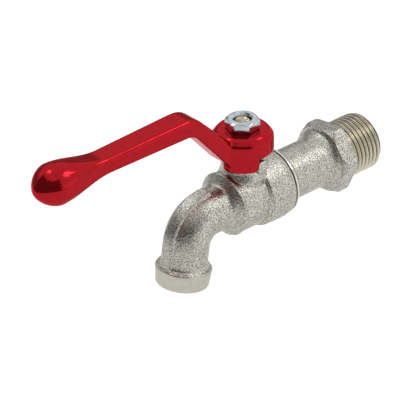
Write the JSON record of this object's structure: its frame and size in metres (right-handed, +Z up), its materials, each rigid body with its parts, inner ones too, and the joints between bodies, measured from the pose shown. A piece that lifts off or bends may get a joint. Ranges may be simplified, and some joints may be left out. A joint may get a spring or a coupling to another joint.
{
  "type": "hose tap",
  "caption": "Wall-mounted quarter-turn hose tap: lever over the stem boss, bent spout with a plain banded outlet, and a male pipe thread behind a hexagon.",
  "frame": {"origin": "on the pipe axis, at the shoulder where the male thread meets the hexagon", "axes": "+Y runs along the pipe into the wall, the spout points to -Y, and +Z is up along the stem"},
  "size_m": [0.0268, 0.1438, 0.0679],
  "materials": {
    "plated_forging": "nickel plate over sandblasted forged brass, grainy and satin",
    "plated_bar": "nickel plate over turned and blasted brass; the thread is left brassy",
    "ptfe": "white, waxy",
    "chromed_ball": "chromed and polished brass",
    "plain_brass": "turned",
    "seal_rubber": "smooth",
    "red_enamel": "glossy red enamel on a die casting",
    "zinc_plate": "bright bluish zinc plate"
  },
  "bodies": {
    "tap": {"body": "plated_forging", "inlet_piece": "plated_bar", "outlet_seat": "ptfe", "inlet_seat": "ptfe", "thrust_washer": "ptfe", "packing_ring": "ptfe", "gland_nut": "plain_brass"},
    "handle": {"lever": "red_enamel", "lever_nut": "zinc_plate", "stem": "plain_brass", "stem_o_ring": "seal_rubber", "ball": "chromed_ball"}
  },
  "joints": [
    {"name": "lever_turn", "type": "hinge", "parent": "tap", "child": "handle", "pos_m": [0, -0.0421, 0.0265], "axis": [0, 0, 1], "range_deg": [-90, 0]}
  ]
}
